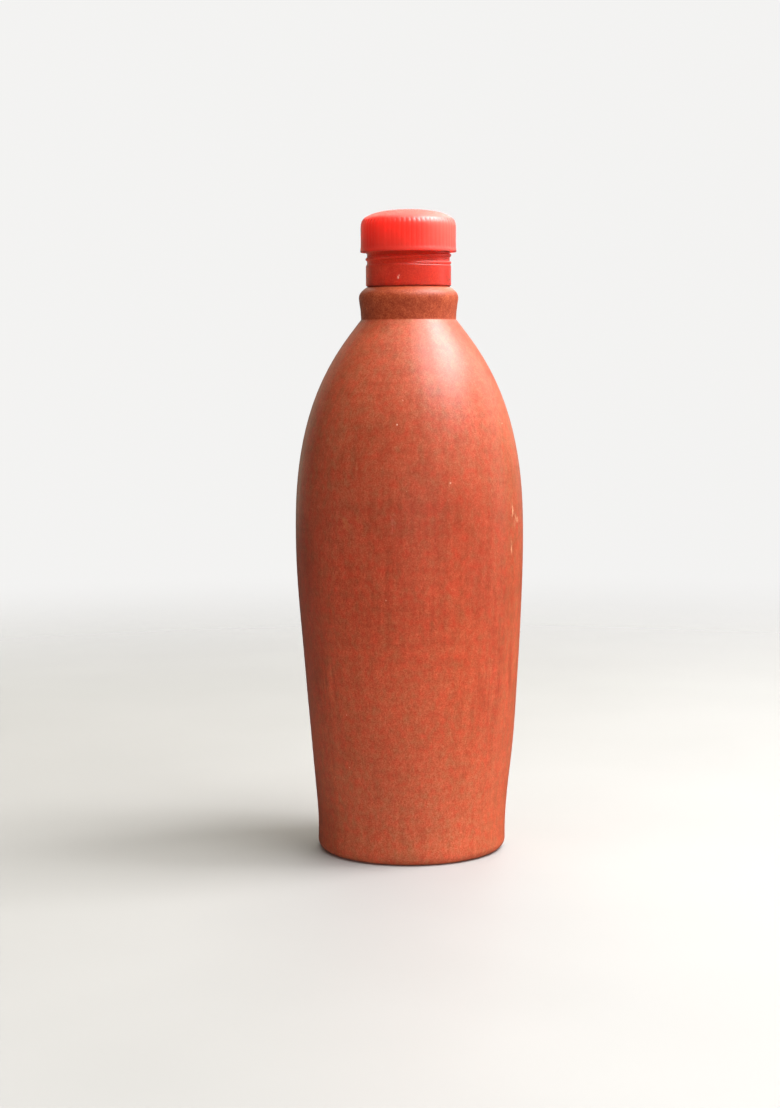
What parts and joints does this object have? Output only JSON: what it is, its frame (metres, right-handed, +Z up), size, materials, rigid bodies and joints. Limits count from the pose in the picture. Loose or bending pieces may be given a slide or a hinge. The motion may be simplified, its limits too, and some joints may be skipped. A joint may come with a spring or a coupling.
{
  "type": "clay water bottle",
  "caption": "Burnished terracotta water bottle with a rounded shoulder and clay collar, a red plastic screw neck bonded into it, and a ribbed red screw cap that unscrews.",
  "frame": {"origin": "centre of the base, on the surface the bottle stands on", "axes": "+Z up along the bottle's axis, which is the axis of the thread and the cap; -Y faces the picture's camera"},
  "size_m": [0.101, 0.101, 0.2827],
  "materials": {
    "burnished_clay": "satin",
    "sleeve_plastic": "satin",
    "adhesive": "matte",
    "cap_plastic": "gloss",
    "liner_foam": "matte"
  },
  "bodies": {
    "bottle": {"clay_body": "burnished_clay", "neck_sleeve": "sleeve_plastic", "sleeve_sealant": "adhesive"},
    "liner": {"cap_liner": "liner_foam"},
    "cap": {"screw_cap": "cap_plastic"}
  },
  "joints": [
    {"name": "cap_lift", "type": "slide", "parent": "bottle", "child": "liner", "axis": [0, 0, 1], "range_m": [0, 0.0128]},
    {"name": "cap_turn", "type": "hinge", "parent": "liner", "child": "cap", "pos_m": [0, 0, 0.27], "axis": [0, 0, 1], "range_deg": [0, 1440]}
  ],
  "couplings": [
    {"joint": "cap_lift", "follows": "cap_turn", "m_per_rad": 0.00050929}
  ]
}
